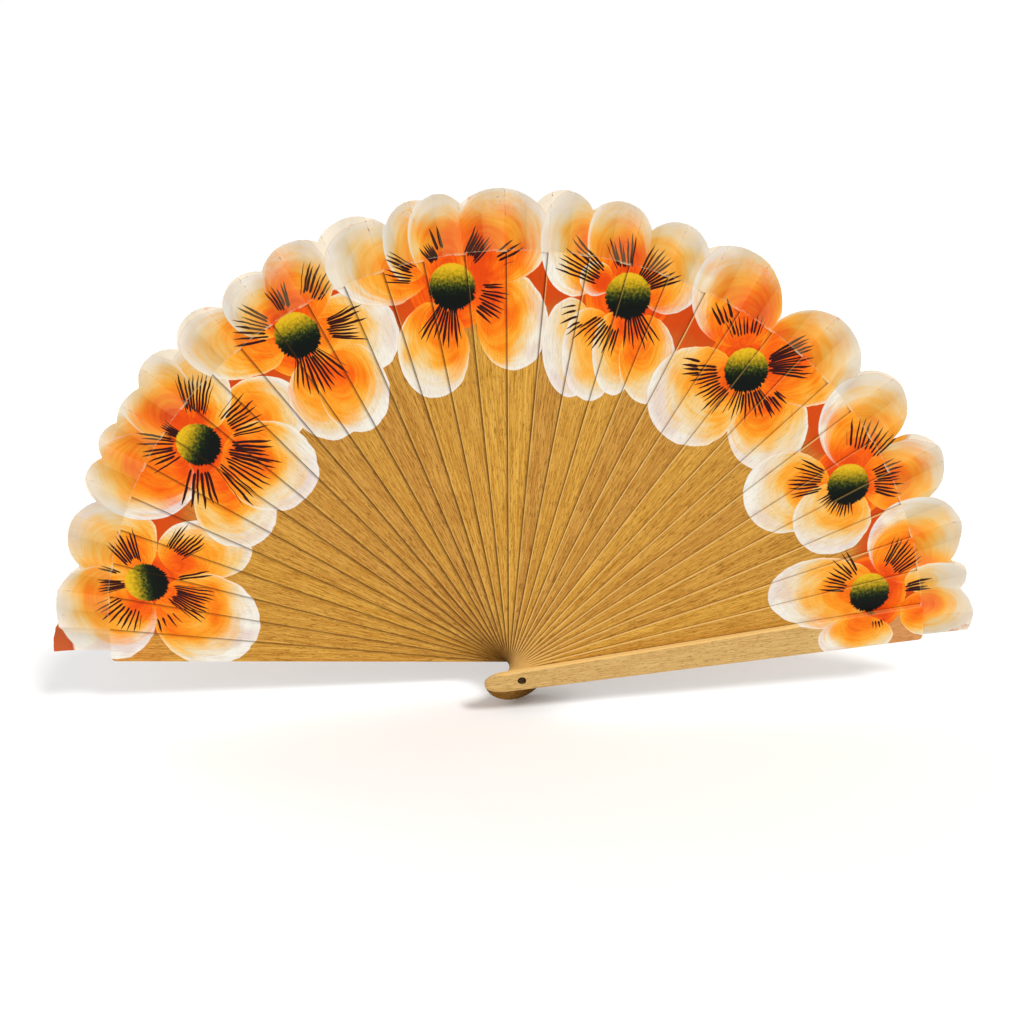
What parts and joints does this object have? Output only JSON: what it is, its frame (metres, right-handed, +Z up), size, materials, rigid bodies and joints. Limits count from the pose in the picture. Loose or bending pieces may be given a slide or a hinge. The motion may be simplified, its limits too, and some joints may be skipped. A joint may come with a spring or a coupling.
{
  "type": "hand fan",
  "caption": "Folding hand fan with flat wooden guards and sticks on one rivet and a short pleated cloth leaf with a lobed edge, painted with large open flowers.",
  "frame": {"origin": "the rivet's axis, in the front guard's outer face, with the fan open", "axes": "the open fan lies in XZ and faces -Y: +X towards the front guard's tip, +Z up through the middle of the leaf, +Y back through the stack along the rivet"},
  "size_m": [0.423, 0.0304, 0.229],
  "materials": {
    "guard_wood": "pale sanded hardwood with a light satin varnish",
    "stick_wood": "thin golden hardwood, painted near the tips and satin varnished",
    "rivet_metal": "darkened steel",
    "leaf_cloth": "thin translucent painted cotton"
  },
  "bodies": {
    "front_guard": {"front_guard": "guard_wood", "rivet": "rivet_metal", "rivet_washer": "rivet_metal", "leaf": "leaf_cloth"},
    "stick_01": {"stick_01": "stick_wood"},
    "stick_02": {"stick_02": "stick_wood"},
    "stick_03": {"stick_03": "stick_wood"},
    "stick_04": {"stick_04": "stick_wood"},
    "stick_05": {"stick_05": "stick_wood"},
    "stick_06": {"stick_06": "stick_wood"},
    "stick_07": {"stick_07": "stick_wood"},
    "stick_08": {"stick_08": "stick_wood"},
    "stick_09": {"stick_09": "stick_wood"},
    "stick_10": {"stick_10": "stick_wood"},
    "stick_11": {"stick_11": "stick_wood"},
    "stick_12": {"stick_12": "stick_wood"},
    "stick_13": {"stick_13": "stick_wood"},
    "stick_14": {"stick_14": "stick_wood"},
    "stick_15": {"stick_15": "stick_wood"},
    "stick_16": {"stick_16": "stick_wood"},
    "stick_17": {"stick_17": "stick_wood"},
    "stick_18": {"stick_18": "stick_wood"},
    "stick_19": {"stick_19": "stick_wood"},
    "stick_20": {"stick_20": "stick_wood"},
    "stick_21": {"stick_21": "stick_wood"},
    "stick_22": {"stick_22": "stick_wood"},
    "stick_23": {"stick_23": "stick_wood"},
    "stick_24": {"stick_24": "stick_wood"},
    "stick_25": {"stick_25": "stick_wood"},
    "stick_26": {"stick_26": "stick_wood"},
    "stick_27": {"stick_27": "stick_wood"},
    "stick_28": {"stick_28": "stick_wood"},
    "stick_29": {"stick_29": "stick_wood"},
    "stick_30": {"stick_30": "stick_wood"},
    "stick_31": {"stick_31": "stick_wood"},
    "stick_32": {"stick_32": "stick_wood"},
    "back_guard": {"back_guard": "stick_wood"}
  },
  "joints": [
    {"name": "stick_01_turn", "type": "hinge", "parent": "front_guard", "child": "stick_01", "pos_m": [0, 0, 0], "axis": [0, 1, 0], "range_deg": [0, 5.14], "deforming": ["leaf"]},
    {"name": "stick_02_turn", "type": "hinge", "parent": "stick_01", "child": "stick_02", "pos_m": [0, 0, 0], "axis": [0, 1, 0], "range_deg": [0, 5.14]},
    {"name": "stick_03_turn", "type": "hinge", "parent": "stick_02", "child": "stick_03", "pos_m": [0, 0, 0], "axis": [0, 1, 0], "range_deg": [0, 5.14]},
    {"name": "stick_04_turn", "type": "hinge", "parent": "stick_03", "child": "stick_04", "pos_m": [0, 0, 0], "axis": [0, 1, 0], "range_deg": [0, 5.14]},
    {"name": "stick_05_turn", "type": "hinge", "parent": "stick_04", "child": "stick_05", "pos_m": [0, 0, 0], "axis": [0, 1, 0], "range_deg": [0, 5.14]},
    {"name": "stick_06_turn", "type": "hinge", "parent": "stick_05", "child": "stick_06", "pos_m": [0, 0, 0], "axis": [0, 1, 0], "range_deg": [0, 5.14]},
    {"name": "stick_07_turn", "type": "hinge", "parent": "stick_06", "child": "stick_07", "pos_m": [0, 0, 0], "axis": [0, 1, 0], "range_deg": [0, 5.14]},
    {"name": "stick_08_turn", "type": "hinge", "parent": "stick_07", "child": "stick_08", "pos_m": [0, 0, 0], "axis": [0, 1, 0], "range_deg": [0, 5.14]},
    {"name": "stick_09_turn", "type": "hinge", "parent": "stick_08", "child": "stick_09", "pos_m": [0, 0, 0], "axis": [0, 1, 0], "range_deg": [0, 5.14]},
    {"name": "stick_10_turn", "type": "hinge", "parent": "stick_09", "child": "stick_10", "pos_m": [0, 0, 0], "axis": [0, 1, 0], "range_deg": [0, 5.14]},
    {"name": "stick_11_turn", "type": "hinge", "parent": "stick_10", "child": "stick_11", "pos_m": [0, 0, 0], "axis": [0, 1, 0], "range_deg": [0, 5.14]},
    {"name": "stick_12_turn", "type": "hinge", "parent": "stick_11", "child": "stick_12", "pos_m": [0, 0, 0], "axis": [0, 1, 0], "range_deg": [0, 5.14]},
    {"name": "stick_13_turn", "type": "hinge", "parent": "stick_12", "child": "stick_13", "pos_m": [0, 0, 0], "axis": [0, 1, 0], "range_deg": [0, 5.14]},
    {"name": "stick_14_turn", "type": "hinge", "parent": "stick_13", "child": "stick_14", "pos_m": [0, 0, 0], "axis": [0, 1, 0], "range_deg": [0, 5.14]},
    {"name": "stick_15_turn", "type": "hinge", "parent": "stick_14", "child": "stick_15", "pos_m": [0, 0, 0], "axis": [0, 1, 0], "range_deg": [0, 5.14]},
    {"name": "stick_16_turn", "type": "hinge", "parent": "stick_15", "child": "stick_16", "pos_m": [0, 0, 0], "axis": [0, 1, 0], "range_deg": [0, 5.14]},
    {"name": "stick_17_turn", "type": "hinge", "parent": "stick_16", "child": "stick_17", "pos_m": [0, 0, 0], "axis": [0, 1, 0], "range_deg": [0, 5.14]},
    {"name": "stick_18_turn", "type": "hinge", "parent": "stick_17", "child": "stick_18", "pos_m": [0, 0, 0], "axis": [0, 1, 0], "range_deg": [0, 5.14]},
    {"name": "stick_19_turn", "type": "hinge", "parent": "stick_18", "child": "stick_19", "pos_m": [0, 0, 0], "axis": [0, 1, 0], "range_deg": [0, 5.14]},
    {"name": "stick_20_turn", "type": "hinge", "parent": "stick_19", "child": "stick_20", "pos_m": [0, 0, 0], "axis": [0, 1, 0], "range_deg": [0, 5.14]},
    {"name": "stick_21_turn", "type": "hinge", "parent": "stick_20", "child": "stick_21", "pos_m": [0, 0, 0], "axis": [0, 1, 0], "range_deg": [0, 5.14]},
    {"name": "stick_22_turn", "type": "hinge", "parent": "stick_21", "child": "stick_22", "pos_m": [0, 0, 0], "axis": [0, 1, 0], "range_deg": [0, 5.14]},
    {"name": "stick_23_turn", "type": "hinge", "parent": "stick_22", "child": "stick_23", "pos_m": [0, 0, 0], "axis": [0, 1, 0], "range_deg": [0, 5.14]},
    {"name": "stick_24_turn", "type": "hinge", "parent": "stick_23", "child": "stick_24", "pos_m": [0, 0, 0], "axis": [0, 1, 0], "range_deg": [0, 5.14]},
    {"name": "stick_25_turn", "type": "hinge", "parent": "stick_24", "child": "stick_25", "pos_m": [0, 0, 0], "axis": [0, 1, 0], "range_deg": [0, 5.14]},
    {"name": "stick_26_turn", "type": "hinge", "parent": "stick_25", "child": "stick_26", "pos_m": [0, 0, 0], "axis": [0, 1, 0], "range_deg": [0, 5.14]},
    {"name": "stick_27_turn", "type": "hinge", "parent": "stick_26", "child": "stick_27", "pos_m": [0, 0, 0], "axis": [0, 1, 0], "range_deg": [0, 5.14]},
    {"name": "stick_28_turn", "type": "hinge", "parent": "stick_27", "child": "stick_28", "pos_m": [0, 0, 0], "axis": [0, 1, 0], "range_deg": [0, 5.14]},
    {"name": "stick_29_turn", "type": "hinge", "parent": "stick_28", "child": "stick_29", "pos_m": [0, 0, 0], "axis": [0, 1, 0], "range_deg": [0, 5.14]},
    {"name": "stick_30_turn", "type": "hinge", "parent": "stick_29", "child": "stick_30", "pos_m": [0, 0, 0], "axis": [0, 1, 0], "range_deg": [0, 5.14]},
    {"name": "stick_31_turn", "type": "hinge", "parent": "stick_30", "child": "stick_31", "pos_m": [0, 0, 0], "axis": [0, 1, 0], "range_deg": [0, 5.14]},
    {"name": "stick_32_turn", "type": "hinge", "parent": "stick_31", "child": "stick_32", "pos_m": [0, 0, 0], "axis": [0, 1, 0], "range_deg": [0, 5.14]},
    {"name": "back_guard_turn", "type": "hinge", "parent": "stick_32", "child": "back_guard", "pos_m": [0, 0, 0], "axis": [0, 1, 0], "range_deg": [0, 5.14]}
  ],
  "couplings": [
    {"joint": "stick_02_turn", "follows": "stick_01_turn", "ratio": 1},
    {"joint": "stick_03_turn", "follows": "stick_01_turn", "ratio": 1},
    {"joint": "stick_04_turn", "follows": "stick_01_turn", "ratio": 1},
    {"joint": "stick_05_turn", "follows": "stick_01_turn", "ratio": 1},
    {"joint": "stick_06_turn", "follows": "stick_01_turn", "ratio": 1},
    {"joint": "stick_07_turn", "follows": "stick_01_turn", "ratio": 1},
    {"joint": "stick_08_turn", "follows": "stick_01_turn", "ratio": 1},
    {"joint": "stick_09_turn", "follows": "stick_01_turn", "ratio": 1},
    {"joint": "stick_10_turn", "follows": "stick_01_turn", "ratio": 1},
    {"joint": "stick_11_turn", "follows": "stick_01_turn", "ratio": 1},
    {"joint": "stick_12_turn", "follows": "stick_01_turn", "ratio": 1},
    {"joint": "stick_13_turn", "follows": "stick_01_turn", "ratio": 1},
    {"joint": "stick_14_turn", "follows": "stick_01_turn", "ratio": 1},
    {"joint": "stick_15_turn", "follows": "stick_01_turn", "ratio": 1},
    {"joint": "stick_16_turn", "follows": "stick_01_turn", "ratio": 1},
    {"joint": "stick_17_turn", "follows": "stick_01_turn", "ratio": 1},
    {"joint": "stick_18_turn", "follows": "stick_01_turn", "ratio": 1},
    {"joint": "stick_19_turn", "follows": "stick_01_turn", "ratio": 1},
    {"joint": "stick_20_turn", "follows": "stick_01_turn", "ratio": 1},
    {"joint": "stick_21_turn", "follows": "stick_01_turn", "ratio": 1},
    {"joint": "stick_22_turn", "follows": "stick_01_turn", "ratio": 1},
    {"joint": "stick_23_turn", "follows": "stick_01_turn", "ratio": 1},
    {"joint": "stick_24_turn", "follows": "stick_01_turn", "ratio": 1},
    {"joint": "stick_25_turn", "follows": "stick_01_turn", "ratio": 1},
    {"joint": "stick_26_turn", "follows": "stick_01_turn", "ratio": 1},
    {"joint": "stick_27_turn", "follows": "stick_01_turn", "ratio": 1},
    {"joint": "stick_28_turn", "follows": "stick_01_turn", "ratio": 1},
    {"joint": "stick_29_turn", "follows": "stick_01_turn", "ratio": 1},
    {"joint": "stick_30_turn", "follows": "stick_01_turn", "ratio": 1},
    {"joint": "stick_31_turn", "follows": "stick_01_turn", "ratio": 1},
    {"joint": "stick_32_turn", "follows": "stick_01_turn", "ratio": 1},
    {"joint": "back_guard_turn", "follows": "stick_01_turn", "ratio": 1}
  ]
}
